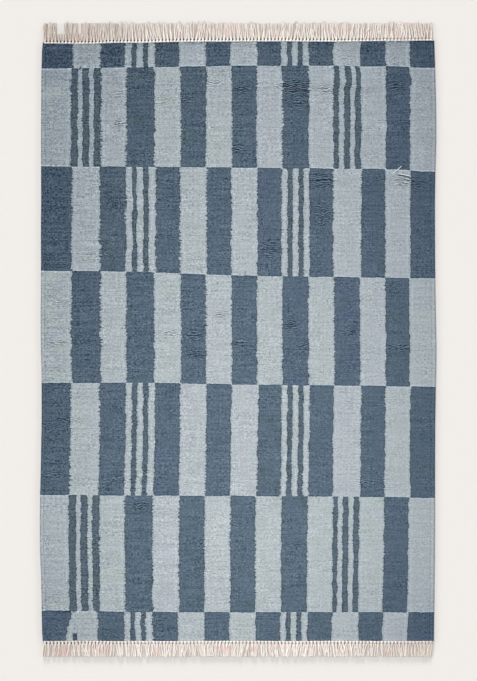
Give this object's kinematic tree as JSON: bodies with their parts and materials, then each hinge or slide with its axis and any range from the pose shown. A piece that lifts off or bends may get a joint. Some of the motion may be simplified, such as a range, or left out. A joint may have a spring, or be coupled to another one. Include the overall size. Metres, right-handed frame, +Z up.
{
  "type": "flatweave rug",
  "caption": "Wool flatweave rug lying flat, blue and pale blocks by turns with striped blocks between, low ripples and a knotted cotton fringe at each end.",
  "frame": {"origin": "middle of the rug's underside, on the floor that it lies on", "axes": "+X across the rug along its weft, +Y along the rug towards the longer fringe, +Z up out of its face"},
  "size_m": [2.0128, 3.2168, 0.009],
  "materials": {
    "wool_weave": "weft-faced wool flatweave in slate blue and pale grey-blue, matt",
    "cotton_fringe": "undyed twisted cotton warp ends, matt"
  },
  "bodies": {
    "root": {"woven_field": "wool_weave", "fringe_top": "cotton_fringe", "fringe_bottom": "cotton_fringe"}
  },
  "joints": []
}
